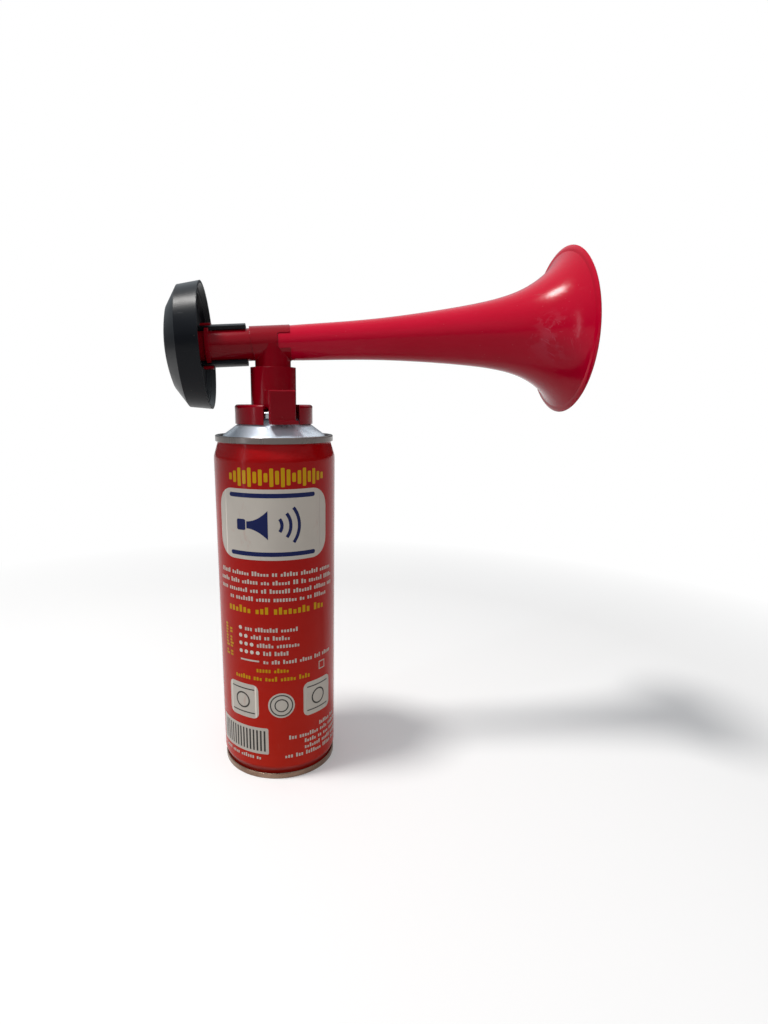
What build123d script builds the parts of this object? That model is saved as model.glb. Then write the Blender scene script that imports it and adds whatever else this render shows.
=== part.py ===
from build123d import *
import math
import os

# Hand-held gas horn: a trumpet with a diaphragm housing on an aerosol can.
# Millimetres. Origin at the centre of the can's base, +Z up the can, +X towards the trumpet's mouth.

# Small clearances
part_gap = 0.1
seat_gap = 0.02

# Can: three pieces of tinplate joined by double seams
can_r = 28.5
can_height = 165.15
body_sheet = 0.25
end_sheet = 0.3
seam_gap = 0.03
top_neck_inset = 0.94
top_seam_height = 2.85
base_neck_inset = 0.31
base_seam_height = 2.8
neck_start_depth = 9.75
neck_end_depth = 3.55
foot_top_z = 6.6
foot_bottom_z = 3.4
seam_bend = 0.25
seam_compound_height = 0.35
hook_length = 1.5
base_dome_rise = 7.5
base_wall_height = 5.2
base_wall_step = 2.5

# Dome of the can: a cone between the seam and the bead round the valve opening
countersink_depth = 4.2
countersink_width = 1.4
cone_foot_width = 0.74
cone_foot_depth = 0.1
cone_slope = 0.72
bead_inner_r = 12.95
bead_outer_r = 15.25
bead_rise = 2.07
bead_height = 1.8
bead_tuck = 1.2

# Valve cup, crimped into the bead. Depths are below the top of the bead
cup_sheet = 0.4
cup_gasket_thickness = 0.3
cup_gasket_width = 0.8
cup_side_gap = 0.3
cup_skirt_depth = 2.1
cup_clinch_bulge = 0.75
cup_clinch_depth = 3.6
cup_clinch_span = 1.9
cup_floor_depth = 7.8
pedestal_r = 6.0
pedestal_height = 6.0
pedestal_foot_flare = 1.4
pedestal_crimp = 0.9
pedestal_crimp_height = 1.6
pedestal_shoulder_height = 2.9
stem_hole_gap = 0.6

# Valve
valve_stem_r = 2.0
valve_stem_bore_r = 1.2
valve_stem_reach = 10.0
valve_port_r = 0.4
stem_shoulder_width = 1.3
stem_shoulder_height = 3.0
spring_pilot_r = 1.6
spring_pilot_length = 2.0
stem_gasket_thickness = 1.2
stem_running_gap = 0.03
stem_gasket_corner = 0.4
valve_housing_wall = 0.8
valve_housing_gap = 0.4
valve_housing_length = 14.6
valve_housing_floor = 1.5
valve_inlet_r = 1.0
valve_flange_height = 1.2
spring_wire_r = 0.3
spring_coil_r = 2.6
spring_turns = 6

# Collar: a ring clipped over the rim of the valve cup
collar_wall = 1.6
collar_fit = 0.35
collar_hang = 2.7
collar_cover = 3.0
collar_flange = 1.6
collar_round = 1.3
collar_relief = 0.9
collar_rest_width = 3.0
collar_bead_height = 1.2
collar_bead_grip = 0.25
collar_bore_gap = 0.6
collar_slot_width = 16.4

# Socket and thumb lever, one moulding that presses the valve stem down
lever_azimuth = 13.5
lever_travel = 1.0
press_clearance = 0.8
socket_wall = 2.22
socket_lift = 0.93
socket_height = 18.6
socket_well = 8.8
socket_floor = 2.2
socket_skirt_wall = 1.5
nozzle_wall = 2.2
nozzle_lift = 1.7
nozzle_orifice_r = 1.0
lever_width = 12.0
lever_height = 8.4
lever_front_r = 18.7
lever_plate = 2.1
lever_roof = 2.0
lever_cheek = 1.6
lever_edge_round = 0.7
ledge_length = 4.3
ledge_clearance = 0.7
ledge_thickness = 1.6
ledge_relief = 1.5

# Horn tee: upright stem that turns in the socket, cross head, tube to the diaphragm
tee_rise = 10.44
horn_tilt = 2.93
swivel_gap = 0.05
tee_stem_r = 8.15
tee_foot_gap = 0.4
tee_bore_r = 3.0
swivel_bead_height = 2.0
swivel_bead_width = 1.8
swivel_bead = 0.4
swivel_groove_height = 5.2
tube_r = 7.1
tube_wall = 1.4
head_wall = 2.3
head_front_s = 8.1
head_back_s = -10.1
head_back_slant = 2.0

# Trumpet. Stations run along its axis from the can's axis
trumpet_wall = 1.4
plug_length = 5.6
plug_gap = 0.05
throat_wall = 1.0
throat_bore_r = 2.8
throat_gap = 0.05
tongue_width = 6.6
tongue_length = 5.5
tongue_depth = 1.0
tongue_corner = 0.8
tongue_gap = 0.1
tongue_azimuth = 6.0
mouth_s = 136.15
mouth_r = 36.78
lip_width = 1.55
lip_rise = 2.58
lip_bulge = 0.3
lip_wall = 2.0
lip_bevel = 0.4
outline_s = (8.1, 20.7, 43.0, 65.2, 87.8, 104.8, 116.0, 125.2, 130.0)
outline_r = (7.66, 8.05, 8.83, 10.5, 13.03, 15.9, 19.4, 24.5, 28.4)
bore_s = (2.5, 8.1, 20.7, 43.0)
bore_r = (3.0, 3.9, 6.2, 7.35)

# Diaphragm housing, snapped to the tee's tube by two legs with windows
housing_r = 25.2
housing_floor_s = -33.5
housing_plate = 1.5
housing_rim_rise = 1.9
housing_rim_width = 2.7
housing_depth = 4.1
housing_land = 3.4
hub_wall = 2.45
hub_depth = 2.9
tube_stand_out = 0.2
leg_gap = 0.4
leg_thickness = 1.8
leg_length = 21.8
leg_angle = 62.0
rib_height = 2.1
rib_thickness = 1.9
rib_front = 5.8
rib_play_angle = 10.0
lug_height = 3.0
lug_length = 4.6
lug_width = 6.0
lug_front = 6.5
window_gap = 0.25

# Diaphragm stack and the rear cap that holds it
diaphragm_gasket_thickness = 0.6
diaphragm_thickness = 0.4
clamp_thickness = 0.6
cap_gap = 0.05
cap_overhang = 1.95
cap_front_wall = 2.4
cap_rear_wall = 1.05
cap_rim_length = 9.75
cap_cone_width = 7.9
cap_cone_depth = 5.3
cap_dome_depth = 2.9
cap_wall = 1.5
cap_lip = 1.2

# O-rings: radius of the rubber's own section
swivel_ring_r = 0.75
plug_ring_r = 0.5
tube_ring_r = 0.4
groove_gap = 0.08

# Places that follow from the sizes above
top_seam_r = can_r - top_neck_inset
base_seam_r = can_r - base_neck_inset
seam_thickness = 3 * end_sheet + 2 * body_sheet + 4 * seam_gap
cone_foot_r = top_seam_r - seam_thickness - countersink_width - cone_foot_width
cone_foot_z = can_height - cone_foot_depth
bead_top_z = cone_foot_z + (cone_foot_r - bead_inner_r) * cone_slope + bead_rise
cup_side_r = bead_outer_r + end_sheet / 2 + cup_side_gap + cup_sheet / 2
cup_wall_r = bead_inner_r - end_sheet / 2 - cup_side_gap - cup_sheet / 2
cup_rim_r = cup_side_r + cup_sheet / 2
cup_top_z = bead_top_z + end_sheet / 2 + cup_gasket_thickness + cup_sheet / 2
cup_rim_top_z = cup_top_z + cup_sheet / 2
cup_skirt_z = bead_top_z - cup_skirt_depth
cup_clinch_z = bead_top_z - cup_clinch_depth
cup_floor_z = bead_top_z - cup_floor_depth
pedestal_top_z = cup_floor_z + pedestal_height
pedestal_under_z = pedestal_top_z - cup_sheet / 2
stem_gasket_low_z = pedestal_under_z - stem_gasket_thickness
valve_housing_bottom_z = stem_gasket_low_z - valve_housing_length
spring_floor_z = valve_housing_bottom_z + valve_housing_floor
valve_stem_top_z = pedestal_top_z + valve_stem_reach
collar_bore_r = cup_rim_r + collar_fit
collar_r = collar_bore_r + collar_wall
collar_bottom_z = cup_skirt_z - collar_hang
collar_top_z = cup_rim_top_z + collar_cover
socket_bore_r = tee_stem_r + swivel_gap
socket_r = socket_bore_r + socket_wall
socket_bottom_z = cup_rim_top_z + socket_lift
socket_top_z = socket_bottom_z + socket_height
socket_floor_top_z = socket_top_z - socket_well
lever_cheek_bottom_z = cup_rim_top_z + lever_travel + press_clearance
ledge_bottom_z = cone_foot_z + (cone_foot_r - lever_front_r) * cone_slope + lever_travel + ledge_clearance
tee_stem_bottom_z = socket_floor_top_z + tee_foot_gap
swivel_bead_z = tee_stem_bottom_z + swivel_bead_height
horn_z = socket_top_z + tee_rise
gallery_r = tube_r - tube_wall
head_r = gallery_r + head_wall
plug_back_s = head_front_s - plug_length
tongue_floor_r = head_r - tongue_depth
housing_front_s = housing_floor_s + housing_rim_rise
housing_back_s = housing_floor_s - housing_plate
housing_rear_s = housing_floor_s - housing_depth
housing_land_r = housing_r - housing_land
hub_end_s = housing_floor_s - hub_depth
tube_end_s = hub_end_s - tube_stand_out
tube_ring_s = (hub_end_s + housing_back_s) / 2
plug_ring_s = (plug_back_s + head_front_s) / 2
rib_front_s = housing_floor_s + rib_front
lug_front_s = housing_floor_s + lug_front
lug_r = tube_r + lug_height
leg_inner_r = tube_r + leg_gap
leg_r = leg_inner_r + leg_thickness
diaphragm_front_s = housing_rear_s - diaphragm_gasket_thickness
diaphragm_back_s = diaphragm_front_s - diaphragm_thickness
clamp_back_s = diaphragm_back_s - clamp_thickness
cap_front_s = housing_front_s + cap_overhang
cap_front_r = housing_r + cap_gap + cap_front_wall
cap_corner_s = cap_front_s - cap_rim_length
cap_corner_r = housing_r + cap_gap + cap_rear_wall
cap_cone_end_s = cap_corner_s - cap_cone_depth
cap_cone_end_r = cap_corner_r - cap_cone_width
cap_back_s = cap_cone_end_s - cap_dome_depth

horn_place = Location((0, 0, horn_z), (0, -horn_tilt, 0))


# Helpers
def turned(points):
    """Solid of revolution about Z from (radius, height) points."""
    face = make_face(Polyline(*points, close=True))
    return revolve(Plane.XZ * face, Axis.Z)


def turned_on_horn(points):
    """Solid of revolution about the trumpet's axis from (station, radius) points."""
    return horn_place * revolve(make_face(Polyline(*points, close=True)), Axis.X)


def pressed(points, bends, sheet):
    """Sheet-metal shell: a band of constant thickness along (radius, height) points, turned about Z."""
    path = FilletPolyline(*points, radius=bends)
    return revolve(Plane.XZ * trace(path, line_width=sheet), Axis.Z)


def cylinder(radius, low, high):
    """Upright cylinder on the can's axis between two heights."""
    return Pos(0, 0, low) * Cylinder(radius, high - low, align=(Align.CENTER, Align.CENTER, Align.MIN))


def along_horn(radius, start, end):
    """Cylinder on the trumpet's axis between two stations."""
    body = Cylinder(radius, end - start, align=(Align.CENTER, Align.CENTER, Align.MIN))
    return horn_place * Pos(start, 0, 0) * Rot(Y=90) * body


def block(low, high):
    """Box between two corners."""
    size = [b - a for a, b in zip(low, high)]
    return Pos(*low) * Box(*size, align=(Align.MIN, Align.MIN, Align.MIN))


def ring_centre(bore_r, section_r):
    """Radius at which an O-ring's section runs when it all but touches the bore."""
    return bore_r - section_r - seat_gap


def groove_floor(bore_r, section_r):
    """Radius of the floor of the groove that such an O-ring lies in."""
    return ring_centre(bore_r, section_r) - section_r - seat_gap


def rubber_ring(bore_r, section_r, place):
    """O-ring against a bore, moved to its place."""
    return place * Torus(ring_centre(bore_r, section_r), section_r)


# Can body and its ends
def seam_layers(seam_r):
    """Mid radii of the five sheets of a double seam, from the outside in."""
    outer_wall = seam_r - end_sheet / 2
    body_hook = outer_wall - end_sheet / 2 - seam_gap - body_sheet / 2
    end_hook = body_hook - body_sheet / 2 - seam_gap - end_sheet / 2
    body_wall = end_hook - end_sheet / 2 - seam_gap - body_sheet / 2
    chuck_wall = body_wall - body_sheet / 2 - seam_gap - end_sheet / 2
    return outer_wall, body_hook, end_hook, body_wall, chuck_wall


seam_cover = end_sheet + seam_gap + body_sheet / 2
compound_depth = seam_cover + seam_bend
hook_tip_depth = compound_depth + seam_compound_height + seat_gap


def make_can_body():
    wall_r = can_r - body_sheet / 2
    base_hook_r, base_wall_r = seam_layers(base_seam_r)[1], seam_layers(base_seam_r)[3]
    top_hook_r, top_wall_r = seam_layers(top_seam_r)[1], seam_layers(top_seam_r)[3]
    top_fold_z = can_height - seam_cover
    points = [
        (base_hook_r, seam_cover + hook_length),
        (base_hook_r, seam_cover),
        (base_wall_r, seam_cover),
        (base_wall_r, foot_bottom_z),
        (wall_r, foot_top_z),
        (wall_r, can_height - neck_start_depth),
        (top_wall_r, can_height - neck_end_depth),
        (top_wall_r, top_fold_z),
        (top_hook_r, top_fold_z),
        (top_hook_r, top_fold_z - hook_length),
    ]
    bends = [seam_bend, seam_bend, 1.5, 3.0, 6.0, 2.0, seam_bend, seam_bend]
    return pressed(points, bends, body_sheet)


def make_bottom_end():
    outer_wall, _, end_hook, _, chuck_wall = seam_layers(base_seam_r)
    low = end_sheet / 2
    hook_z = base_seam_height - end_sheet / 2
    panel_r = chuck_wall - base_wall_step
    panel_z = base_wall_height + end_sheet * 2
    hook = FilletPolyline(
        (end_hook, hook_tip_depth),
        (end_hook, hook_z),
        (outer_wall, hook_z),
        (outer_wall, low),
        (chuck_wall, low),
        (chuck_wall, base_wall_height),
        (panel_r, panel_z),
        radius=[seam_bend, seam_bend, seam_bend, seam_bend, 0.8],
    )
    panel = RadiusArc((panel_r, panel_z), (0, panel_z + base_dome_rise), -base_dome_radius(panel_r))
    rim = revolve(Plane.XZ * trace(hook, line_width=end_sheet), Axis.Z)
    dome = revolve(Plane.XZ * trace(panel, line_width=end_sheet), Axis.Z)
    return rim + dome


def base_dome_radius(panel_r):
    """Radius of the arc that rises base_dome_rise over panel_r and is level on the axis."""
    return (panel_r**2 + base_dome_rise**2) / (2 * base_dome_rise)


def cone_z(r):
    """Height of the middle of the cone's sheet at a radius."""
    return cone_foot_z + (cone_foot_r - r) * cone_slope - end_sheet / 2 * math.hypot(1, cone_slope)


def make_top_dome():
    outer_wall, _, end_hook, _, chuck_wall = seam_layers(top_seam_r)
    top = can_height - end_sheet / 2
    hook_z = can_height - top_seam_height + end_sheet / 2
    well_z = can_height - countersink_depth
    points = [
        (bead_outer_r - bead_tuck, bead_top_z - bead_height),
        (bead_outer_r, bead_top_z - bead_height),
        (bead_outer_r, bead_top_z),
        (bead_inner_r, bead_top_z),
        (bead_inner_r, cone_z(bead_inner_r)),
        (cone_foot_r, cone_z(cone_foot_r)),
        (chuck_wall - countersink_width, well_z),
        (chuck_wall, well_z),
        (chuck_wall, top),
        (outer_wall, top),
        (outer_wall, hook_z),
        (end_hook, hook_z),
        (end_hook, can_height - hook_tip_depth),
    ]
    bends = [0.8, 0.8, 0.8, 1.0, 1.2, 0.6, 0.6, 0.4, 0.4, seam_bend, seam_bend]
    return pressed(points, bends, end_sheet)


def seam_compound(seam_r, low, high):
    """Sealing compound in the fold of the body, above or below the end hook's tip."""
    end_hook = seam_layers(seam_r)[2]
    half = end_sheet / 2
    return turned([(end_hook - half, low), (end_hook + half, low), (end_hook + half, high), (end_hook - half, high)])


# Valve cup and valve
def make_valve_cup():
    points = [
        (cup_side_r, cup_skirt_z),
        (cup_side_r, cup_top_z),
        (cup_wall_r, cup_top_z),
        (cup_wall_r, cup_clinch_z + cup_clinch_span),
        (cup_wall_r + cup_clinch_bulge, cup_clinch_z),
        (cup_wall_r, cup_clinch_z - cup_clinch_span),
        (cup_wall_r, cup_floor_z),
        (pedestal_r + pedestal_foot_flare, cup_floor_z),
        (pedestal_r - pedestal_crimp, cup_floor_z + pedestal_crimp_height),
        (pedestal_r, cup_floor_z + pedestal_shoulder_height),
        (pedestal_r, pedestal_top_z),
        (valve_stem_r + stem_hole_gap + cup_sheet / 2, pedestal_top_z),
    ]
    bends = [1.1, 1.1, 0.8, 0.6, 0.8, 1.0, 0.8, 0.4, 0.4, 0.6]
    return pressed(points, bends, cup_sheet)


def make_cup_gasket():
    low = bead_top_z + end_sheet / 2
    high = cup_top_z - cup_sheet / 2
    inner = (bead_inner_r + bead_outer_r - cup_gasket_width) / 2
    outer = inner + cup_gasket_width
    return turned([(inner, low), (outer, low), (outer, high), (inner, high)])


def make_stem_gasket():
    inner = valve_stem_r + stem_running_gap
    outer = pedestal_r - cup_sheet / 2 - stem_gasket_corner
    return turned([(inner, stem_gasket_low_z), (outer, stem_gasket_low_z),
                   (outer, pedestal_under_z), (inner, pedestal_under_z)])


def make_valve_housing():
    flange_r = pedestal_r - cup_sheet / 2 - part_gap
    flange_z = stem_gasket_low_z - valve_flange_height
    bore_r = valve_stem_r + stem_shoulder_width + valve_housing_gap
    shell = cylinder(bore_r + valve_housing_wall, valve_housing_bottom_z, stem_gasket_low_z)
    shell += cylinder(flange_r, flange_z, stem_gasket_low_z)
    shell -= cylinder(bore_r, spring_floor_z, stem_gasket_low_z)
    return shell - cylinder(valve_inlet_r, valve_housing_bottom_z, spring_floor_z)


def make_valve_stem():
    shoulder_low = stem_gasket_low_z - stem_shoulder_height
    stem = cylinder(valve_stem_r, shoulder_low, valve_stem_top_z)
    stem += cylinder(valve_stem_r + stem_shoulder_width, shoulder_low, stem_gasket_low_z)
    stem += cylinder(spring_pilot_r, shoulder_low - spring_pilot_length, shoulder_low)
    port_z = stem_gasket_low_z + stem_gasket_thickness / 2
    stem -= cylinder(valve_stem_bore_r, stem_gasket_low_z - valve_port_r / 2, valve_stem_top_z)
    port = Cylinder(valve_port_r, 2 * valve_stem_r, align=(Align.CENTER, Align.CENTER, Align.MIN))
    return stem - Pos(0, 0, port_z) * Rot(X=90) * port


def make_valve_spring():
    low = spring_floor_z + spring_wire_r + seat_gap
    high = stem_gasket_low_z - stem_shoulder_height - spring_wire_r - seat_gap
    height = high - low
    path = Helix(pitch=height / spring_turns, height=height, radius=spring_coil_r)
    start = Plane(origin=path @ 0, z_dir=path % 0)
    return Pos(0, 0, low) * sweep(start * Circle(spring_wire_r), path=path)


# Collar round the valve cup
def make_collar():
    rest_r = cup_rim_r - collar_rest_width
    bead_r = cup_rim_r - collar_bead_grip
    bead_top = cup_skirt_z - part_gap
    bead_low = cup_skirt_z - collar_bead_height
    opening_r = socket_r + collar_bore_gap
    flange_z = collar_top_z - collar_flange
    ring = turned([
        (collar_bore_r, collar_bottom_z + collar_relief),
        (collar_bore_r + collar_relief, collar_bottom_z),
        (collar_r, collar_bottom_z),
        (collar_r, collar_top_z),
        (opening_r, collar_top_z),
        (opening_r, flange_z),
        (rest_r, flange_z),
        (rest_r, cup_rim_top_z),
        (collar_bore_r, cup_rim_top_z),
        (collar_bore_r, bead_top),
        (bead_r, bead_top),
        (bead_r, bead_low),
        (collar_bore_r, bead_low),
    ])
    rim = ring.edges().filter_by(GeomType.CIRCLE).group_by(Axis.Z)[-1].sort_by(SortBy.RADIUS)[-1]
    ring = fillet(rim, collar_round)
    half = collar_slot_width / 2
    slot = block((-half, -2 * collar_r, collar_bottom_z), (half, 0, collar_top_z))
    return ring - Rot(Z=lever_azimuth) * slot


# Socket and lever
def make_lever_socket():
    floor_low = socket_floor_top_z - socket_floor
    nozzle_r = valve_stem_r + nozzle_wall
    nozzle_low = socket_bottom_z + nozzle_lift
    moulding = cylinder(socket_r, socket_bottom_z, socket_top_z) + Rot(Z=lever_azimuth) * make_lever_block()
    moulding -= cylinder(socket_bore_r, socket_floor_top_z, socket_top_z)
    moulding -= swivel_groove()
    moulding -= cylinder(socket_r - socket_skirt_wall, socket_bottom_z, floor_low)
    moulding += cylinder(nozzle_r, nozzle_low, floor_low)
    moulding -= cylinder(valve_stem_r + seat_gap, nozzle_low, valve_stem_top_z + seat_gap)
    return moulding - cylinder(nozzle_orifice_r, valve_stem_top_z, socket_floor_top_z)


def make_lever_block():
    """Lever pointing along -Y: roof, cheeks, front plate and thumb ledge."""
    half = lever_width / 2
    plate_back = lever_front_r - lever_plate
    ledge_top = ledge_bottom_z + ledge_thickness
    ledge_reach = lever_front_r + ledge_length
    lever_top_z = socket_bottom_z + lever_height
    side = Polyline(
        (0, lever_cheek_bottom_z),
        (plate_back, lever_cheek_bottom_z),
        (plate_back, ledge_bottom_z + ledge_relief),
        (plate_back + ledge_relief, ledge_bottom_z),
        (ledge_reach, ledge_bottom_z),
        (ledge_reach, ledge_top),
        (lever_front_r, ledge_top),
        (lever_front_r, lever_top_z),
        (0, lever_top_z),
        close=True,
    )
    body = Pos(-half, 0, 0) * extrude(Plane.YZ * mirror(make_face(side), Plane.YZ), lever_width)
    rounds = body.edges().filter_by(
        lambda e: e.center().Y < seat_gap - lever_front_r and e.center().Z > lever_cheek_bottom_z
    )
    body = fillet(rounds, lever_edge_round)
    pocket_half = half - lever_cheek
    pocket = block(
        (-pocket_half, -plate_back, lever_cheek_bottom_z),
        (pocket_half, 0, lever_top_z - lever_roof),
    )
    return body - pocket


def swivel_barb(surface_r, half):
    """Raised band with sloping sides, on the tee's stem or with its gap cut into the socket."""
    top = surface_r + swivel_bead
    inside = surface_r - swivel_bead
    return turned([
        (inside, swivel_bead_z - half),
        (surface_r, swivel_bead_z - half),
        (top, swivel_bead_z - half + swivel_bead),
        (top, swivel_bead_z + half - swivel_bead),
        (surface_r, swivel_bead_z + half),
        (inside, swivel_bead_z + half),
    ])


def swivel_groove():
    return swivel_barb(socket_bore_r, swivel_bead_width / 2 + window_gap)


# Tee
def ring_groove(bore_r, surface_r, section_r, centre):
    """Outline of an O-ring groove, as (distance along the axis, radius) points."""
    half = section_r + groove_gap
    floor = groove_floor(bore_r, section_r)
    outside = surface_r + section_r
    return [(centre - half, floor), (centre + half, floor), (centre + half, outside), (centre - half, outside)]


def make_horn_tee():
    stem = cylinder(tee_stem_r, tee_stem_bottom_z, horn_z) + swivel_barb(tee_stem_r, swivel_bead_width / 2)
    groove_z = tee_stem_bottom_z + swivel_groove_height
    groove = ring_groove(socket_bore_r, tee_stem_r, swivel_ring_r, groove_z)
    stem -= turned([(radius, height) for height, radius in groove])
    tee = stem + make_head() + along_horn(tube_r, tube_end_s, 0) + make_ribs_and_lugs()
    tee -= along_horn(gallery_r, tube_end_s, head_front_s)
    tee -= along_horn(2 * head_r, head_front_s, 2 * head_front_s)
    tee -= cylinder(tee_bore_r, tee_stem_bottom_z, horn_z)
    tee -= tongue(tongue_gap, tongue_floor_r, 2 * head_r)
    return tee - turned_on_horn(ring_groove(tube_r + plug_gap, tube_r, tube_ring_r, tube_ring_s))


def make_head():
    head = along_horn(head_r, head_back_s, head_front_s)
    slant = math.degrees(math.atan2(head_back_slant, 2 * head_r))
    cut = Box(4 * head_r, 4 * head_r, 4 * head_r, align=(Align.MAX, Align.CENTER, Align.CENTER))
    back = head_back_s + head_back_slant / 2
    return head - horn_place * Pos(back, 0, 0) * Rot(Y=-slant) * cut


def make_ribs_and_lugs():
    """Ribs in the side windows of the snap legs and the two lugs that the legs catch."""
    rib_back_s = rib_front_s - rib_thickness
    rib_r = tube_r + rib_height
    ribs = along_horn(rib_r, rib_back_s, rib_front_s)
    ribs -= leg_sector(rib_r + rib_height, rib_back_s, rib_front_s, leg_angle + rib_play_angle)
    lug_back_s = lug_front_s - lug_length
    lug = horn_place * block((lug_back_s, -lug_width / 2, -lug_r), (lug_front_s, lug_width / 2, lug_r))
    return ribs + (lug & along_horn(lug_r, lug_back_s, lug_front_s))


def leg_sector(radius, start, end, angle):
    """Two opposite wedges, above and below the trumpet's axis."""
    reach = radius * 2
    side = reach * math.tan(math.radians(angle / 2))
    wedge = make_face(Polyline((0, 0), (side, reach), (-side, reach), close=True))
    both = wedge + mirror(wedge, Plane.XZ)
    bar = extrude(Plane.YZ * both, end - start)
    return (horn_place * Pos(start, 0, 0) * bar) & along_horn(radius, start, end)


def tongue(gap, low_r, high_r):
    """Tongue of the trumpet, or with a gap the recess for it in the head."""
    half = tongue_width / 2 + gap
    back = head_front_s - tongue_length - gap
    shape = block((back, -half, 0), (head_front_s, half, high_r))
    corners = shape.edges().filter_by(Axis.Z).group_by(Axis.X)[0]
    shape = horn_place * Rot(X=90 - tongue_azimuth) * fillet(corners, tongue_corner + gap)
    shell = ring_on_horn(low_r, high_r, back, head_front_s)
    return shape & shell


# Trumpet
def inside_of(points, wall):
    """The same outline moved inwards by the wall, square to the chord of each point's neighbours."""
    moved = []
    for before, here, after in zip(points, points[1:], points[2:]):
        ds, dr = after[0] - before[0], after[1] - before[1]
        length = math.hypot(ds, dr)
        moved.append((here[0] + wall * dr / length, here[1] - wall * ds / length))
    return moved


def make_trumpet():
    crease = (mouth_s - lip_width, mouth_r - lip_rise)
    lip_edge = (mouth_s - lip_bevel, mouth_r)
    outline = list(zip(outline_s, outline_r)) + [crease]
    throat_end = diaphragm_front_s + throat_gap
    throat_r = throat_bore_r + throat_wall
    plug_r = gallery_r - plug_gap
    lip_inner_r = mouth_r - lip_wall
    bore = list(zip(bore_s, bore_r)) + inside_of(outline[2:], trumpet_wall)
    outside = Spline(*outline)
    inside = Spline(*bore)
    sketch = make_face(
        outside
        + SagittaArc(crease, lip_edge, lip_bulge)
        + Polyline(lip_edge, (mouth_s, mouth_r - lip_bevel), (mouth_s, lip_inner_r), bore[-1])
        + inside
        + Polyline(bore[0], (throat_end, throat_bore_r), (throat_end, throat_r), (plug_back_s, throat_r),
                   (plug_back_s, plug_r), (head_front_s, plug_r), outline[0])
    )
    horn = horn_place * revolve(sketch, Axis.X)
    horn += tongue(0, tongue_floor_r + plug_gap, outline_r[0])
    return horn - turned_on_horn(ring_groove(gallery_r, plug_r, plug_ring_r, plug_ring_s))


# Diaphragm housing, diaphragm and rear cap
def make_diaphragm_housing():
    bore = tube_r + plug_gap
    step_r = housing_r - housing_rim_width
    hub_r = bore + hub_wall
    shell = turned_on_horn([
        (housing_floor_s, bore),
        (housing_floor_s, step_r),
        (housing_front_s, step_r + lip_bevel),
        (housing_front_s, housing_r - lip_bevel),
        (housing_front_s - lip_bevel, housing_r),
        (housing_rear_s, housing_r),
        (housing_rear_s, housing_land_r),
        (housing_back_s, housing_land_r),
        (housing_back_s, hub_r),
        (hub_end_s, hub_r),
        (hub_end_s, bore),
    ])
    leg_end_s = housing_floor_s + leg_length
    legs = leg_sector(leg_r, housing_back_s + housing_plate / 2, leg_end_s, leg_angle)
    legs -= along_horn(leg_inner_r, housing_back_s, leg_end_s)
    half = lug_width / 2 + window_gap
    window_back_s = lug_front_s - lug_length - window_gap
    window = horn_place * block(
        (window_back_s, -half, -lug_r), (lug_front_s + window_gap, half, lug_r)
    )
    return shell + (legs - window)


def ring_on_horn(inner_r, outer_r, start, end):
    return along_horn(outer_r, start, end) - along_horn(inner_r, start, end)


def make_diaphragm_gasket():
    return ring_on_horn(housing_land_r, housing_r - part_gap, diaphragm_front_s, housing_rear_s)


def make_diaphragm():
    return along_horn(housing_r - part_gap, diaphragm_back_s, diaphragm_front_s)


def make_clamp_ring():
    return ring_on_horn(housing_land_r, housing_r - part_gap, clamp_back_s, diaphragm_back_s)


def make_rear_cap():
    bore = housing_r + cap_gap
    inner_edge = (cap_cone_end_s + cap_wall, cap_cone_end_r - cap_wall / 2)
    outer_arc = back_arc(cap_cone_end_s, cap_cone_end_r, cap_back_s)
    inner_arc = back_arc(*inner_edge, cap_back_s + cap_wall)
    sketch = make_face(
        Polyline((cap_back_s + cap_wall, 0), (cap_back_s, 0))
        + outer_arc
        + Polyline(
            (cap_cone_end_s, cap_cone_end_r),
            (cap_corner_s, cap_corner_r),
            (cap_front_s, cap_front_r),
            (cap_front_s, cap_front_r - cap_lip),
            (housing_front_s, bore),
            (clamp_back_s, bore),
            (clamp_back_s, housing_land_r),
            inner_edge,
        )
        + inner_arc
    )
    return horn_place * revolve(sketch, Axis.X)


def back_arc(edge_s, edge_r, back_s):
    """Arc from the middle of the back, square to the axis, out to the edge of the dome."""
    return TangentArc((back_s, 0), (edge_s, edge_r), tangent=(0, 1))


def make_parts():
    base_compound = (compound_depth, compound_depth + seam_compound_height)
    top_compound = [can_height - depth for depth in base_compound]
    swivel_ring_place = Pos(0, 0, tee_stem_bottom_z + swivel_groove_height)
    plug_ring_place = horn_place * Pos(plug_ring_s, 0, 0) * Rot(Y=90)
    tube_ring_place = horn_place * Pos(tube_ring_s, 0, 0) * Rot(Y=90)
    return {
        "can_body": make_can_body(),
        "bottom_end": make_bottom_end(),
        "top_dome": make_top_dome(),
        "top_seam_compound": seam_compound(top_seam_r, *top_compound),
        "base_seam_compound": seam_compound(base_seam_r, *base_compound),
        "valve_cup": make_valve_cup(),
        "cup_gasket": make_cup_gasket(),
        "stem_gasket": make_stem_gasket(),
        "valve_housing": make_valve_housing(),
        "valve_spring": make_valve_spring(),
        "collar": make_collar(),
        "valve_stem": make_valve_stem(),
        "lever_socket": make_lever_socket(),
        "horn_tee": make_horn_tee(),
        "swivel_o_ring": rubber_ring(socket_bore_r, swivel_ring_r, swivel_ring_place),
        "trumpet": make_trumpet(),
        "trumpet_o_ring": rubber_ring(gallery_r, plug_ring_r, plug_ring_place),
        "diaphragm_housing": make_diaphragm_housing(),
        "housing_o_ring": rubber_ring(tube_r + plug_gap, tube_ring_r, tube_ring_place),
        "diaphragm_gasket": make_diaphragm_gasket(),
        "diaphragm": make_diaphragm(),
        "clamp_ring": make_clamp_ring(),
        "rear_cap": make_rear_cap(),
    }


os.makedirs("parts", exist_ok=True)
for name, shape in make_parts().items():
    export_step(shape, f"parts/{name}.step")
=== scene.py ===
import math
import random

import bpy
from mathutils import Matrix, Vector


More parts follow.
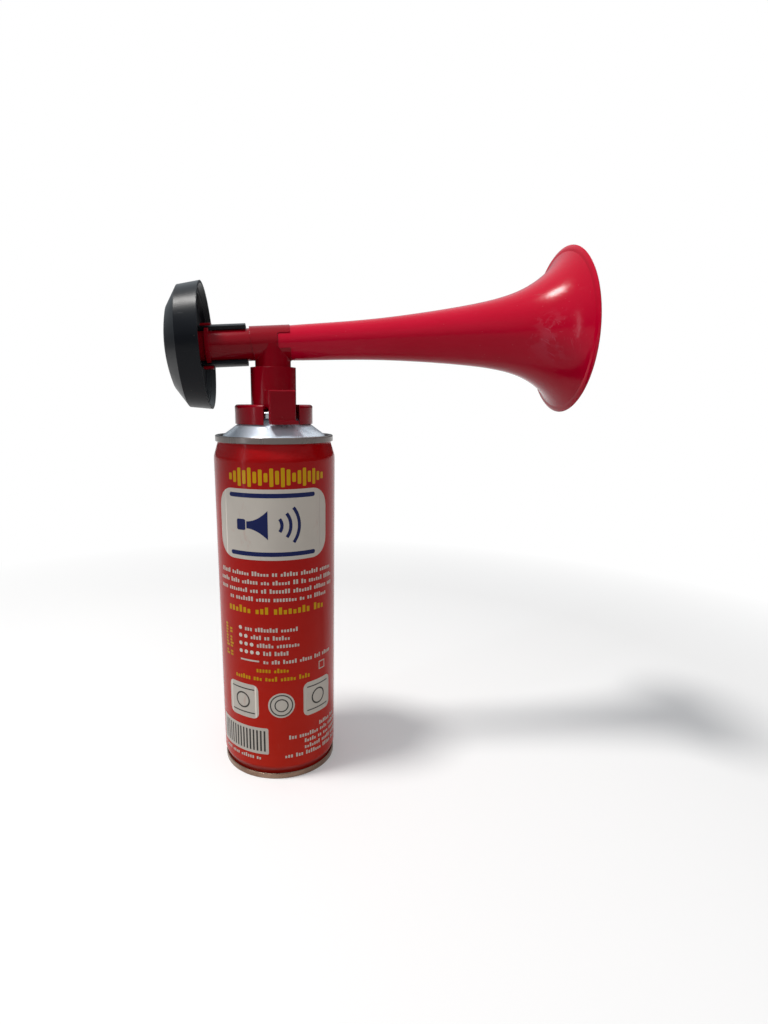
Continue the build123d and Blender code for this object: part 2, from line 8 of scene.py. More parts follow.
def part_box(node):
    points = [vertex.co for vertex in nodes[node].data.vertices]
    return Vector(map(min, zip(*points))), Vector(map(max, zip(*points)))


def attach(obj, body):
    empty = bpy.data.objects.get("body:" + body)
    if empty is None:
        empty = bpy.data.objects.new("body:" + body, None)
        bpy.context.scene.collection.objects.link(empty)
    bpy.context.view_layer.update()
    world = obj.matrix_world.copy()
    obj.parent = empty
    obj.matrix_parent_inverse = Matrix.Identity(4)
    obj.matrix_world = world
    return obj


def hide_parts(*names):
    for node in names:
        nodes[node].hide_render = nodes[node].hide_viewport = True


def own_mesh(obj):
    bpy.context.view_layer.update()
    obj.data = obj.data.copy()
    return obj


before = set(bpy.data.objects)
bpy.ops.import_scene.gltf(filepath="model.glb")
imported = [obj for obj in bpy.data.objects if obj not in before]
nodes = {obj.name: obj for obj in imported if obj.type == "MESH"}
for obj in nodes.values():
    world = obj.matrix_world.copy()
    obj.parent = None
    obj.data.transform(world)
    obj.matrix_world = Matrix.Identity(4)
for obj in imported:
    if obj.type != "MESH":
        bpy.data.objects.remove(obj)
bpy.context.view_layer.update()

MM = 0.001

# Camera: the photograph's place, view and framing
CAMERA_PLACE = Vector((7.3, -289.3, 180.7)) * MM
CAMERA_AZIMUTH = 4.52
CAMERA_PITCH = 13.64
CAMERA_ROLL = 0.29
CAMERA_LENS = 21.10
CAMERA_SHIFT = (0.04536, 0.03365)
CAMERA_NEAR = 0.01

# The can, from the frame, and where its neck starts below its top edge
can_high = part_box("can_body")[1]
CAN_R = can_high.x
NECK_DROP = 9.75 * MM
NECK_Z = can_high.z - NECK_DROP

# Light: the key stands on the line from the bell's shadow in the photograph through the bell,
# its reach times as far beyond the bell
OBJECT_MIDDLE = Vector((0.03, 0, 0.12))
BELL_MIDDLE = Vector((130, 0, 212)) * MM
BELL_SHADOW = Vector((242, 17, 0)) * MM
KEY_REACH = 4.1
KEY_PLACE = BELL_MIDDLE + KEY_REACH * (BELL_MIDDLE - BELL_SHADOW)
FILL_PLACE = (0.25, -1.2, 0.6)
STRIP_PLACE = (-0.75, -0.45, 0.25)

# Floor: camera rays see it a little lifted, and plain white beyond its fade, in metres
FLOOR_SIZE = 40
FLOOR_LIFT = 0.13
FLOOR_FADE = (0.31, 0.5)

# World: an even soft light, and a sky that glossy surfaces see white above its fade
WORLD_COLOUR = (0.94, 0.97, 1.0, 1)
WORLD_LIGHT = 0.36
SKY_COLOUR = (0.86, 0.94, 1.0, 1)
SKY_UP = (-0.1, 0, 1)
SKY_FADE = (0.08, 0.6)
SKY_LOWEST = 0.05
PLAIN_WHITE = (1, 1, 1, 1)

# Marks of handling on the side of the bell: their middle, and where they start and end to fade
HANDLED = Vector((123, -22, 208)) * MM
HANDLED_FULL = 5 * MM
HANDLED_GONE = 13 * MM


# Shader helpers
class Look:
    """A node-based material, with short calls for the nodes it is made of."""

    def __init__(self, name, **sockets):
        self.material = bpy.data.materials.new(name)
        self.material.use_nodes = True
        self.tree = self.material.node_tree
        self.shader = self.tree.nodes["Principled BSDF"]
        for socket, value in sockets.items():
            self.shader.inputs[socket.replace("_", " ")].default_value = value
        self.place = self.node("ShaderNodeTexCoord").outputs["Object"]

    def node(self, kind, **settings):
        made = self.tree.nodes.new(kind)
        for key, value in settings.items():
            setattr(made, key, value)
        return made

    def feed(self, socket, source):
        """Links a socket to an output, or sets it to a value."""
        if isinstance(source, bpy.types.NodeSocket):
            self.tree.links.new(source, socket)
        else:
            socket.default_value = source

    def noise(self, scale, detail=3.0, roughness=0.5, stretch=(1, 1, 1), distortion=0.0):
        mapping = self.node("ShaderNodeMapping")
        mapping.inputs["Scale"].default_value = stretch
        self.feed(mapping.inputs["Vector"], self.place)
        made = self.node("ShaderNodeTexNoise")
        made.inputs["Scale"].default_value = scale
        made.inputs["Detail"].default_value = detail
        made.inputs["Roughness"].default_value = roughness
        made.inputs["Distortion"].default_value = distortion
        self.feed(made.inputs["Vector"], mapping.outputs["Vector"])
        return made.outputs["Fac"]

    def specks(self, scale, size):
        """1 in the middle of small random specks, fading to 0 at their edge and beyond."""
        made = self.node("ShaderNodeTexVoronoi")
        made.inputs["Scale"].default_value = scale
        self.feed(made.inputs["Vector"], self.place)
        return self.band(made.outputs["Distance"], size, size * 0.4)

    def band(self, value, low, high):
        """Linear step of value from low to high, clamped to 0..1. low may be above high."""
        made = self.node("ShaderNodeMapRange")
        self.feed(made.inputs["Value"], value)
        made.inputs["From Min"].default_value = low
        made.inputs["From Max"].default_value = high
        return made.outputs["Result"]

    def maths(self, operation, *values):
        made = self.node("ShaderNodeMath", operation=operation)
        for socket, value in zip(made.inputs, values):
            self.feed(socket, value)
        return made.outputs["Value"]

    def times(self, first, second):
        return self.maths("MULTIPLY", first, second)

    def larger(self, first, second):
        return self.maths("MAXIMUM", first, second)

    def vector_maths(self, operation, first, second=None):
        """Vector Math node. The second input is left alone where the operation has one input."""
        made = self.node("ShaderNodeVectorMath", operation=operation)
        self.feed(made.inputs[0], first)
        if second is not None:
            self.feed(made.inputs[1], second)
        return made

    def axis(self, name):
        made = self.node("ShaderNodeSeparateXYZ")
        self.feed(made.inputs["Vector"], self.place)
        return made.outputs[name]

    def near(self, place, full, gone):
        """1 within the full distance of a place in metres, fading to 0 at the gone one."""
        away = self.vector_maths("DISTANCE", self.place, place)
        return self.band(away.outputs["Value"], gone, full)

    def mix(self, factor, first, second):
        made = self.node("ShaderNodeMix", data_type="RGBA")
        self.feed(made.inputs["Factor"], factor)
        self.feed(made.inputs["A"], first)
        self.feed(made.inputs["B"], second)
        return made.outputs["Result"]

    def veil(self, tone, mask, amount, colour):
        """The tone, with a colour over it by the amount where the mask is 1."""
        return self.mix(self.times(mask, amount), tone, colour)

    def colour(self, source):
        self.feed(self.shader.inputs["Base Color"], source)

    def roughness(self, factor, low, high):
        made = self.node("ShaderNodeMapRange")
        self.feed(made.inputs["Value"], factor)
        made.inputs["To Min"].default_value = low
        made.inputs["To Max"].default_value = high
        self.feed(self.shader.inputs["Roughness"], made.outputs["Result"])

    def soft_edges(self, radius):
        """Normal of the surface with its sharp edges rounded to the radius."""
        made = self.node("ShaderNodeBevel", samples=4)
        made.inputs["Radius"].default_value = radius
        return made.outputs["Normal"]

    def edges(self, rounded):
        """1 along sharp edges, 0 on flat and evenly curved surfaces."""
        flat = self.node("ShaderNodeNewGeometry").outputs["Normal"]
        likeness = self.vector_maths("DOT_PRODUCT", rounded, flat)
        return self.band(likeness.outputs["Value"], 0.985, 0.9)

    def worn_edges(self, rounded, scale):
        """Sharp edges, worn in patches of the scale."""
        return self.times(self.edges(rounded), self.band(self.noise(scale, 3), 0.35, 0.65))

    def bump(self, *layers, start=None):
        """Stacks (height, distance in metres, strength) layers on the shader's normal."""
        normal = start
        for height, distance, strength in layers:
            made = self.node("ShaderNodeBump")
            made.inputs["Distance"].default_value = distance
            made.inputs["Strength"].default_value = strength
            self.feed(made.inputs["Height"], height)
            if normal is not None:
                self.feed(made.inputs["Normal"], normal)
            normal = made.outputs["Normal"]
        self.feed(self.shader.inputs["Normal"], normal)


def rgb(red, green, blue):
    """Linear colour from the 0..255 values of a screen."""
    def linear(value):
        value /= 255
        return value / 12.92 if value <= 0.04045 else ((value + 0.055) / 1.055) ** 2.4
    return (linear(red), linear(green), linear(blue), 1.0)


def darker(base, share):
    """The colour at a share of its brightness."""
    return tuple(share * channel for channel in base[:3]) + (1.0,)


# Materials
def handling_marks(look):
    """Smeared lines and dull patches where the bell is held and laid down."""
    streaks = look.noise(120, 4, 0.6, stretch=(0.4, 3, 1), distortion=2.0)
    lines = look.band(streaks, 0.56, 0.62)
    patch = look.band(look.noise(70, 3, 0.6, stretch=(1, 3, 2)), 0.5, 0.6)
    marks = look.larger(lines, look.times(patch, 0.6))
    return look.times(marks, look.near(HANDLED, HANDLED_FULL, HANDLED_GONE))


def moulded_red(name, base, dark, handled=False):
    """Glossy moulded plastic with faint flow marks, scuffs, dust, hair scratches and paler edges."""
    look = Look(name, Roughness=0.16, Specular_IOR_Level=0.14)
    rounded = look.soft_edges(0.25 * MM)
    flow = look.noise(14, 4, 0.55, stretch=(1, 2, 2))
    fine = look.noise(900, 2, 0.5)
    scuffs = look.band(look.noise(60, 6, 0.7, stretch=(1, 5, 5), distortion=1.2), 0.62, 0.78)
    dust = look.specks(300, 0.05)
    worn = look.worn_edges(rounded, 240)
    tone = look.mix(flow, base, dark)
    tone = look.veil(tone, scuffs, 0.07, rgb(226, 120, 130))
    tone = look.veil(tone, worn, 0.35, rgb(232, 70, 84))
    if handled:
        marks = handling_marks(look)
        tone = look.veil(tone, marks, 0.22, rgb(206, 120, 140))
        scuffs = look.larger(scuffs, marks)
    look.colour(look.veil(tone, dust, 0.3, rgb(226, 170, 170)))
    rough = look.larger(scuffs, look.larger(worn, look.band(flow, 0.35, 0.85)))
    look.roughness(rough, 0.1, 0.3)
    hair = look.band(look.noise(420, 3, 0.7, stretch=(0.3, 1, 3), distortion=1.0), 0.6, 0.66)
    look.bump((flow, 0.6 * MM, 0.12), (fine, 0.02 * MM, 0.2), (hair, 0.02 * MM, 0.35), start=rounded)
    return look.material


def moulded_black():
    """Black moulded plastic with smears, scratches, dust and greyer edges."""
    look = Look("black_moulding", Roughness=0.25, Specular_IOR_Level=0.14)
    rounded = look.soft_edges(0.3 * MM)
    smear = look.noise(45, 5, 0.6, stretch=(1, 1, 3))
    scratches = look.band(look.noise(160, 3, 0.6, stretch=(1, 0.2, 6), distortion=0.6), 0.66, 0.74)
    dust = look.specks(360, 0.07)
    worn = look.worn_edges(rounded, 200)
    tone = look.mix(smear, rgb(7, 9, 14), rgb(14, 17, 23))
    tone = look.veil(tone, scratches, 0.12, rgb(110, 115, 120))
    tone = look.veil(tone, worn, 0.3, rgb(88, 92, 98))
    look.colour(look.veil(tone, dust, 0.45, rgb(140, 130, 118)))
    look.roughness(look.larger(smear, look.larger(scratches, worn)), 0.2, 0.42)
    look.bump((smear, 0.4 * MM, 0.12), (scratches, 0.03 * MM, 0.3), start=rounded)
    return look.material


def tinplate(name, base, dark, metallic, smooth, rough):
    """Rolled tinplate with faint rolling lines, stains and shallow waves."""
    look = Look(name, Metallic=metallic)
    roll = look.noise(500, 3, 0.6, stretch=(1, 1, 0.05))
    stain = look.noise(40, 4, 0.6)
    tone = look.mix(look.band(stain, 0.35, 0.7), base, dark)
    scratch = look.band(look.noise(220, 4, 0.7, stretch=(1, 0.15, 1), distortion=0.5), 0.64, 0.7)
    look.colour(look.veil(tone, scratch, 0.3, dark))
    uneven = look.maths("ADD", stain, look.times(roll, 0.4))
    look.roughness(look.band(uneven, 0.4, 1.1), smooth, rough)
    look.bump((roll, 0.02 * MM, 0.3), (look.noise(90, 2), 0.3 * MM, 0.15))
    return look


def dome_tin():
    """Lacquered dome. Its seam, outside the countersink, is darker."""
    look = tinplate("dome_tin", rgb(232, 242, 252), rgb(204, 216, 230), 0.35, 0.22, 0.36)
    lacquered = look.shader.inputs["Base Color"].links[0].from_socket
    flat = look.vector_maths("MULTIPLY", look.place, (1, 1, 0))
    reach = look.vector_maths("LENGTH", flat.outputs[0])
    seam = look.band(reach.outputs["Value"], CAN_R - 3.0 * MM, CAN_R - 2.6 * MM)
    look.colour(look.mix(seam, lacquered, rgb(116, 108, 104)))
    return look.material


def varnish(look):
    """Gloss varnish over the can's print, with shallow dents and a crumpled neck."""
    dents = look.noise(48, 2, 0.5, stretch=(1, 1, 0.45))
    neck = look.band(look.axis("Z"), NECK_Z - 5 * MM, NECK_Z + 2 * MM)
    crumple = look.times(look.noise(150, 2, 0.5, stretch=(1, 1, 1.8)), neck)
    look.bump((dents, 0.5 * MM, 0.2), (crumple, 0.8 * MM, 0.5))
    look.roughness(look.noise(70, 4, 0.6), 0.16, 0.3)


def printed_look(name):
    """Start of every printed colour: little gloss of its own under a thin clear coat."""
    return Look(name, Specular_IOR_Level=0.1, Coat_Weight=0.05, Coat_Roughness=0.05)


def printed_red():
    """Lithographed tinplate: red that turns warmer towards the base, with a few rub marks and painted
    shade in the groove at its foot.
    """
    look = printed_look("can_print")
    height = look.band(look.axis("Z"), 0.165, 0.01)
    stain = look.noise(30, 4, 0.6)
    rub = look.band(look.noise(130, 5, 0.7, stretch=(1, 1, 0.3), distortion=0.8), 0.68, 0.76)
    # Painted shade: the red darkens in the narrow groove at the can's foot, just above the bottom
    # seam
    foot = look.band(look.axis("Z"), 7 * MM, 5 * MM)
    tone = look.mix(height, rgb(172, 2, 10), rgb(202, 34, 8))
    tone = look.veil(tone, stain, 0.3, rgb(124, 4, 8))
    tone = look.veil(tone, foot, 0.6, rgb(86, 5, 7))
    look.colour(look.veil(tone, rub, 0.12, rgb(228, 140, 120)))
    varnish(look)
    return look.material


def ink(name, base, worn):
    """One printed colour under the varnish, rubbed thin in places."""
    look = printed_look(name)
    rub = look.band(look.noise(150, 5, 0.7, stretch=(1, 1, 0.4), distortion=0.6), 0.6, 0.78)
    tone = look.mix(look.noise(60, 3), base, darker(base, 0.86))
    look.colour(look.veil(tone, rub, 0.4, worn))
    varnish(look)
    return look.material


def plain(name, base, roughness, shade=0.7):
    """Simple matt finish with a fine mottled tone, for small inner pieces."""
    look = Look(name, Roughness=roughness)
    grain = look.noise(300, 4, 0.6)
    look.colour(look.mix(grain, base, darker(base, shade)))
    look.bump((grain, 0.03 * MM, 0.3))
    return look.material


def drawn_wire():
    look = Look("drawn_wire", Metallic=1.0, Roughness=0.28)
    look.colour(look.mix(look.noise(600, 3), rgb(190, 190, 190), rgb(140, 140, 142)))
    return look.material


trumpet_red = moulded_red("trumpet_red", rgb(208, 1, 52), rgb(178, 1, 32), handled=True)
fitting_red = moulded_red("fitting_red", rgb(156, 1, 27), rgb(126, 1, 18))
black = moulded_black()
tin = tinplate("tinplate", rgb(205, 208, 212), rgb(170, 174, 178), 1.0, 0.12, 0.32).material
foot_tin = tinplate("foot_tin", rgb(150, 126, 108), rgb(112, 84, 68), 0.8, 0.2, 0.38).material
can_red = printed_red()
finishes = {
    "can_body": can_red,
    "bottom_end": foot_tin,
    "top_dome": dome_tin(),
    "valve_cup": tin,
    "top_seam_compound": plain("compound", rgb(110, 108, 100), 0.6),
    "base_seam_compound": plain("compound_base", rgb(110, 108, 100), 0.6),
    "cup_gasket": plain("gasket_rubber", rgb(30, 30, 30), 0.7),
    "stem_gasket": plain("stem_rubber", rgb(34, 32, 30), 0.7),
    "valve_housing": plain("acetal", rgb(225, 224, 215), 0.45, shade=0.9),
    "valve_stem": plain("acetal_stem", rgb(232, 230, 222), 0.4, shade=0.9),
    "valve_spring": drawn_wire(),
    "collar": fitting_red,
    "lever_socket": fitting_red,
    "horn_tee": fitting_red,
    "trumpet": trumpet_red,
    "swivel_o_ring": plain("o_ring_rubber", rgb(26, 26, 26), 0.55),
    "trumpet_o_ring": plain("plug_ring_rubber", rgb(26, 26, 26), 0.55),
    "housing_o_ring": plain("tube_ring_rubber", rgb(26, 26, 26), 0.55),
    "diaphragm_housing": black,
    "diaphragm_gasket": plain("diaphragm_rubber", rgb(30, 30, 30), 0.7),
    "diaphragm": plain("polyester_film", rgb(214, 208, 186), 0.35, shade=0.93),
    "clamp_ring": black,
    "rear_cap": black,
}


def give(piece, material):
    piece.data.materials.clear()
    piece.data.materials.append(material)


for node, material in finishes.items():
    give(nodes[node], material)


# The valve's spring, as a copy of its own on the can's body
def make_spring():
    coil = bpy.data.objects.new("spring_coil", nodes["valve_spring"].data.copy())
    coil.matrix_world = nodes["valve_spring"].matrix_world.copy()
    bpy.context.scene.collection.objects.link(coil)
    give(coil, finishes["valve_spring"])
    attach(coil, "can")
    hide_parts("valve_spring")
    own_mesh(coil)


make_spring()


# Print on the can. Arcs run round the can from its front (-Y) towards +X, and heights from
# its base, both in millimetres
INK_LIFT = 0.03
OVERPRINT_LIFT = 0.05
PATCH_STEP = 0.5
ARCH_STEPS = 32
CORNER_STEP = 15
TICK_WIDTH = 0.42
TICK_PITCH = 0.66
TICK_GAP = 0.55
TICK_HEIGHTS = (0.6, 0.75, 0.75, 1.0)


class Print:
    """One printed colour: thin patches that lie on the can's wall."""

    def __init__(self, name, material, lift):
        self.name = name
        self.material = material
        self.radius = CAN_R + lift * MM
        self.points = []
        self.faces = []

    def ribbon(self, first, second):
        """Patch between two lines of (arc, height) points."""
        for pair in zip(first, second):
            for arc, height in pair:
                angle = arc * MM / CAN_R
                across = self.radius * math.sin(angle)
                toward_back = -self.radius * math.cos(angle)
                self.points.append((across, toward_back, height * MM))
        last = len(self.points) - 2
        for k in range(last - 2 * (len(first) - 1), last, 2):
            self.faces.append((k, k + 2, k + 3, k + 1))

    def panel(self, left, right, low, high, corner=0.0):
        """Rectangle, with round corners where a radius is given."""
        steps = max(2, math.ceil((right - left) / PATCH_STEP))
        arcs = [left + (right - left) * k / steps for k in range(steps + 1)]
        if corner:
            turns = range(0, 90, CORNER_STEP)
            rounds = [corner * (1 - math.cos(math.radians(turn))) for turn in turns]
            arcs = sorted(arcs + [left + r for r in rounds] + [right - r for r in rounds])
        inset = []
        for arc in arcs:
            gap = max(0.0, corner - min(arc - left, right - arc))
            inset.append(corner - math.sqrt(max(0.0, corner**2 - gap**2)))
        lower = [(arc, low + depth) for arc, depth in zip(arcs, inset)]
        upper = [(arc, high - depth) for arc, depth in zip(arcs, inset)]
        self.ribbon(lower, upper)

    def outline(self, left, right, low, high, width):
        """Empty rectangle, as four panels of a width."""
        self.panel(left, right, low, low + width)
        self.panel(left, right, high - width, high)
        self.panel(left, left + width, low, high)
        self.panel(right - width, right, low, high)

    def arch(self, arc, height, radius, width, start=0, end=360):
        """Part of a ring between two angles in degrees, from the right anticlockwise."""
        span = end - start
        turns = [math.radians(start + span * k / ARCH_STEPS) for k in range(ARCH_STEPS + 1)]

        def rim(reach):
            return [(arc + reach * math.cos(turn), height + reach * math.sin(turn)) for turn in turns]

        self.ribbon(rim(radius), rim(radius - width))

    def disc(self, arc, height, radius):
        self.panel(arc - radius, arc + radius, height - radius, height + radius, radius)

    def ticks(self, left, right, height, size, seed, upright=False):
        """Row of ticks of uneven length, in groups."""
        pick = random.Random(seed)
        place = left
        while place < right - size:
            for _ in range(pick.randint(2, 8)):
                if place > right:
                    break
                low = height - size / 2
                high = low + size * pick.choice(TICK_HEIGHTS)
                end = place + TICK_WIDTH * size
                if upright:
                    self.panel(low, high, place, end)
                else:
                    self.panel(place, end, low, high)
                place += TICK_PITCH * size
            place += TICK_GAP * size

    def finish(self):
        mesh = bpy.data.meshes.new(self.name)
        mesh.from_pydata(self.points, [], self.faces)
        mesh.polygons.foreach_set("use_smooth", [True] * len(mesh.polygons))
        mesh.materials.append(self.material)
        piece = bpy.data.objects.new(self.name, mesh)
        bpy.context.scene.collection.objects.link(piece)
        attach(piece, "can")


def print_bars(yellow):
    """Row of round-ended bars of uneven height."""
    heights = (3, 5, 8, 6, 8.4, 5, 7, 4, 8, 6, 8.4, 7, 4, 6, 8, 5, 7, 4, 3)
    first = -21
    pitch = 2.5
    half = 0.85
    level = 148.2
    for k, size in enumerate(heights):
        middle = first + pitch * k
        yellow.panel(middle - half, middle + half, level - size / 2, level + size / 2, corner=0.5)


def print_sign(white, blue):
    """White panel with two lines and a plain horn that sends out three waves."""
    white.panel(-29.5, 27, 111, 143, corner=9)
    blue.panel(-22, 19.5, 139.2, 141.2, corner=1)
    blue.panel(-22, 19.5, 112.8, 114.8, corner=1)
    blue.panel(-18, -13.5, 124.5, 129.5, corner=0.8)
    flare_start = -13
    flare = [0.25 * k for k in range(41)]
    below = [(flare_start + d, 125.4 - 0.05 * d * d) for d in flare]
    above = [(flare_start + d, 128.6 + 0.05 * d * d) for d in flare]
    blue.ribbon(below, above)
    for radius in (5.5, 9.5, 13.5):
        blue.arch(-1.5, 127, radius, width=1.5, start=-38, end=38)


def print_lines(white, yellow):
    """Rows of ticks under the sign, beside it and after rows of dots."""
    row_ends = ((-30, 33), (-31, 32), (-31, 33), (-24, 26))
    for row, (left, right) in enumerate(row_ends):
        white.ticks(left, right, 104.6 - 4.0 * row, size=2.1, seed=11 + row)
    yellow.ticks(-25, 27.6, 87.2, size=3.4, seed=5)

    for k in range(2):
        yellow.ticks(62, 79, -27.8 + 3.4 * k, size=2.3, seed=31 + k, upright=True)
    for row, end in enumerate((9, 3, 5, -4)):
        height = 77.8 - 3.87 * row
        for dot in range(row + 1):
            white.disc(-18.2 + 3 * dot, height, radius=0.95)
        white.ticks(-15.5 + 3 * row, end + 3 * row, height, size=2.1, seed=51 + row)
    white.panel(-18.5, -8.6, 61.6, 62.4)
    white.ticks(-6.5, 31, 62, size=2.1, seed=57)

    yellow.ticks(-10, 5, 57.6, size=2.2, seed=61)
    yellow.ticks(-22, 17, 53.4, size=2.3, seed=62)
    white.outline(21.7, 25.9, 54.2, 58.4, width=0.5)


def print_squares(white, grey):
    """Two plain squares with a ring, and a disc with two rings between them."""
    for left, right in ((-27, -9.5), (12.5, 30)):
        white.panel(left, right, 32, 49.5, corner=3)
        grey.panel(left + 2, right - 2, 46.6, 47.2)
        grey.panel(left + 2, right - 2, 34.3, 34.9)
        grey.arch((left + right) / 2, 40.75, radius=4.2, width=0.8)
    white.disc(1.6, 39.6, radius=6.4)
    grey.arch(1.6, 39.6, radius=5.6, width=0.6)
    grey.arch(1.6, 39.6, radius=3.4, width=0.6)


def print_stripes(white, grey):
    """White panel with even stripes at the foot, and rows of ticks under and beside it."""
    white.panel(-36, -5, 13.5, 27.5, corner=0.8)
    for k in range(15):
        grey.panel(-34 + 1.9 * k, -33.1 + 1.9 * k, 15, 26)
    white.ticks(-33, -8, 11.4, size=2.0, seed=71)
    for row, left in enumerate((22, 5, 13, 13, 3)):
        white.ticks(left, 38, 25.6 - 3.3 * row, size=2.1, seed=81 + row)


def print_back(white, yellow, tin_strip):
    """Back of the can: blocks of generic lines and the bare strip along the welded seam."""
    half_way = math.pi * CAN_R / MM
    first_row = 134
    row_pitch = 3.6
    rows = 12
    yellow.ticks(half_way - 24, half_way - 6, 141, size=2.4, seed=101)
    for row in range(rows):
        right = half_way - 4.5 - 3 * (row % 4)
        white.ticks(half_way - 34, right, first_row - row_pitch * row, size=2.0, seed=110 + row)
    yellow.ticks(half_way + 8, half_way + 26, 141, size=2.4, seed=131)
    for row in range(rows):
        right = half_way + 34 - 4 * (row % 3)
        white.ticks(half_way + 5, right, first_row - row_pitch * row, size=2.0, seed=140 + row)
    white.panel(half_way - 34, half_way - 8, 60, 82, corner=2)
    tin_strip.panel(half_way - 1.2, half_way + 1.2, 7.2, NECK_Z / MM - 1)


def print_can():
    """All that is printed on the can, in plain generic shapes."""
    white = Print("print_white", ink("ink_white", rgb(214, 206, 196), rgb(190, 110, 92)), INK_LIFT)
    yellow = Print("print_yellow", ink("ink_yellow", rgb(214, 164, 8), rgb(186, 60, 12)), INK_LIFT)
    blue = Print("print_blue", ink("ink_blue", rgb(20, 32, 88), rgb(84, 88, 120)), OVERPRINT_LIFT)
    grey = Print("print_grey", ink("ink_grey", rgb(66, 62, 60), rgb(150, 140, 132)), OVERPRINT_LIFT)
    seam = Print("welded_seam_strip", tin, INK_LIFT)
    print_bars(yellow)
    print_sign(white, blue)
    print_lines(white, yellow)
    print_squares(white, grey)
    print_stripes(white, grey)
    print_back(white, yellow, seam)
    for colour in (white, yellow, blue, grey, seam):
        colour.finish()


print_can()


# Stage: pale floor and white surroundings
def background_rays(tree, *names):
    """1 for camera rays and for the other kinds of ray named here."""
    rays = tree.nodes.new("ShaderNodeLightPath")
    seen = rays.outputs["Is Camera Ray"]
    for name in names:
        either = tree.nodes.new("ShaderNodeMath")
        either.operation = "MAXIMUM"
        tree.links.new(seen, either.inputs[0])
        tree.links.new(rays.outputs[name], either.inputs[1])
        seen = either.outputs["Value"]
    return seen


def make_stage():
    """Floor that keeps the object's shadow near it and turns to plain white further out."""
    bpy.ops.mesh.primitive_plane_add(size=FLOOR_SIZE, location=(0, 0, 0))
    floor = bpy.context.object
    floor.name = "floor"
    look = Look("floor", Roughness=1.0, Specular_IOR_Level=0.0)
    tree = look.tree
    seen = background_rays(tree, "Is Glossy Ray", "Is Transmission Ray")
    grain = look.mix(look.noise(3, 3), rgb(240, 240, 240), rgb(236, 236, 237))
    look.colour(look.mix(seen, rgb(160, 158, 155), grain))
    lift = look.node("ShaderNodeEmission")
    look.feed(lift.inputs["Strength"], look.times(seen, FLOOR_LIFT))
    lifted = look.node("ShaderNodeAddShader")
    look.feed(lifted.inputs[0], look.shader.outputs[0])
    look.feed(lifted.inputs[1], lift.outputs[0])
    white = look.node("ShaderNodeEmission")
    away = look.vector_maths("LENGTH", look.place)
    far = look.times(look.band(away.outputs["Value"], *FLOOR_FADE), seen)
    faded = look.node("ShaderNodeMixShader")
    look.feed(faded.inputs[0], far)
    look.feed(faded.inputs[1], lifted.outputs[0])
    look.feed(faded.inputs[2], white.outputs[0])
    look.feed(tree.nodes["Material Output"].inputs["Surface"], faded.outputs[0])
    give(floor, look.material)


def sky_level(tree, camera_ray):
    """Brightness of the sky: dim near the horizon, white above and for the camera."""
    place = tree.nodes.new("ShaderNodeTexCoord")
    toward_sky = tree.nodes.new("ShaderNodeVectorMath")
    toward_sky.operation = "DOT_PRODUCT"
    tree.links.new(place.outputs["Generated"], toward_sky.inputs[0])
    toward_sky.inputs[1].default_value = SKY_UP
    room = tree.nodes.new("ShaderNodeMapRange")
    room.inputs["From Min"].default_value = SKY_FADE[0]
    room.inputs["From Max"].default_value = SKY_FADE[1]
    room.inputs["To Min"].default_value = SKY_LOWEST
    tree.links.new(toward_sky.outputs["Value"], room.inputs["Value"])
    level = tree.nodes.new("ShaderNodeMath")
    level.operation = "MAXIMUM"
    tree.links.new(camera_ray, level.inputs[0])
    tree.links.new(room.outputs["Result"], level.inputs[1])
    return level.outputs["Value"]


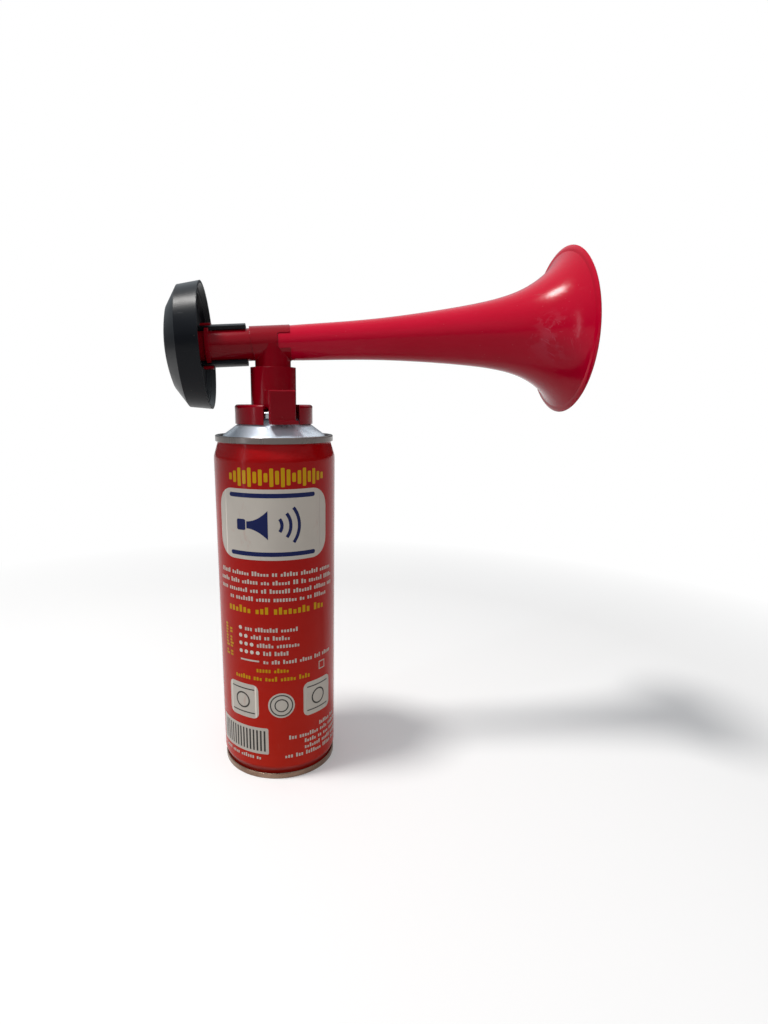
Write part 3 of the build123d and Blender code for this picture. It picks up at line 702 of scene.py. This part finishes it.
def make_world():
    """White for the camera. Glossy surfaces see it white above and dimmer near the horizon."""
    world = bpy.data.worlds.new("studio")
    bpy.context.scene.world = world
    world.use_nodes = True
    tree = world.node_tree
    soft = tree.nodes["Background"]
    soft.inputs["Color"].default_value = WORLD_COLOUR
    soft.inputs["Strength"].default_value = WORLD_LIGHT
    camera_ray = background_rays(tree)
    tint = tree.nodes.new("ShaderNodeMix")
    tint.data_type = "RGBA"
    tint.inputs["A"].default_value = SKY_COLOUR
    tint.inputs["B"].default_value = PLAIN_WHITE
    tree.links.new(camera_ray, tint.inputs["Factor"])
    sky = tree.nodes.new("ShaderNodeBackground")
    tree.links.new(tint.outputs["Result"], sky.inputs["Color"])
    tree.links.new(sky_level(tree, camera_ray), sky.inputs["Strength"])
    mixed = tree.nodes.new("ShaderNodeMixShader")
    seen = background_rays(tree, "Is Glossy Ray", "Is Transmission Ray")
    tree.links.new(seen, mixed.inputs[0])
    tree.links.new(soft.outputs[0], mixed.inputs[1])
    tree.links.new(sky.outputs[0], mixed.inputs[2])
    tree.links.new(mixed.outputs[0], tree.nodes["World Output"].inputs["Surface"])


def area_light(name, place, size, power, colour, in_reflections=True):
    """Oval lamp that faces the object."""
    data = bpy.data.lights.new(name, "AREA")
    data.shape = "ELLIPSE"
    data.size, data.size_y = size
    data.energy = power
    data.color = colour
    lamp = bpy.data.objects.new(name, data)
    bpy.context.scene.collection.objects.link(lamp)
    lamp.location = place
    lamp.rotation_mode = "QUATERNION"
    lamp.rotation_quaternion = (OBJECT_MIDDLE - Vector(place)).to_track_quat("-Z", "Y")
    lamp.visible_glossy = in_reflections


def make_lights():
    """Key for the shadow, fill that shows in no gloss, and a narrow strip on the left."""
    area_light("key", KEY_PLACE, size=(0.2, 0.2), power=8.5, colour=(1.0, 0.98, 0.95))
    area_light("fill", FILL_PLACE, size=(1.0, 1.0), power=2.4,
               colour=(1.0, 0.98, 0.96), in_reflections=False)
    area_light("strip", STRIP_PLACE, size=(0.06, 0.7), power=0.7, colour=(0.85, 0.92, 1.0))


def make_camera():
    data = bpy.data.cameras.new("camera")
    data.lens = CAMERA_LENS
    data.shift_x, data.shift_y = CAMERA_SHIFT
    data.clip_start = CAMERA_NEAR
    camera = bpy.data.objects.new("camera", data)
    bpy.context.scene.collection.objects.link(camera)
    turn = Matrix.Rotation(math.radians(-CAMERA_AZIMUTH), 4, "Z")
    tilt = Matrix.Rotation(math.radians(90 - CAMERA_PITCH), 4, "X")
    roll = Matrix.Rotation(math.radians(CAMERA_ROLL), 4, "Z")
    camera.matrix_world = Matrix.Translation(CAMERA_PLACE) @ turn @ tilt @ roll
    bpy.context.scene.camera = camera


make_stage()
make_world()
make_lights()
make_camera()
bpy.context.scene.view_settings.view_transform = "Standard"
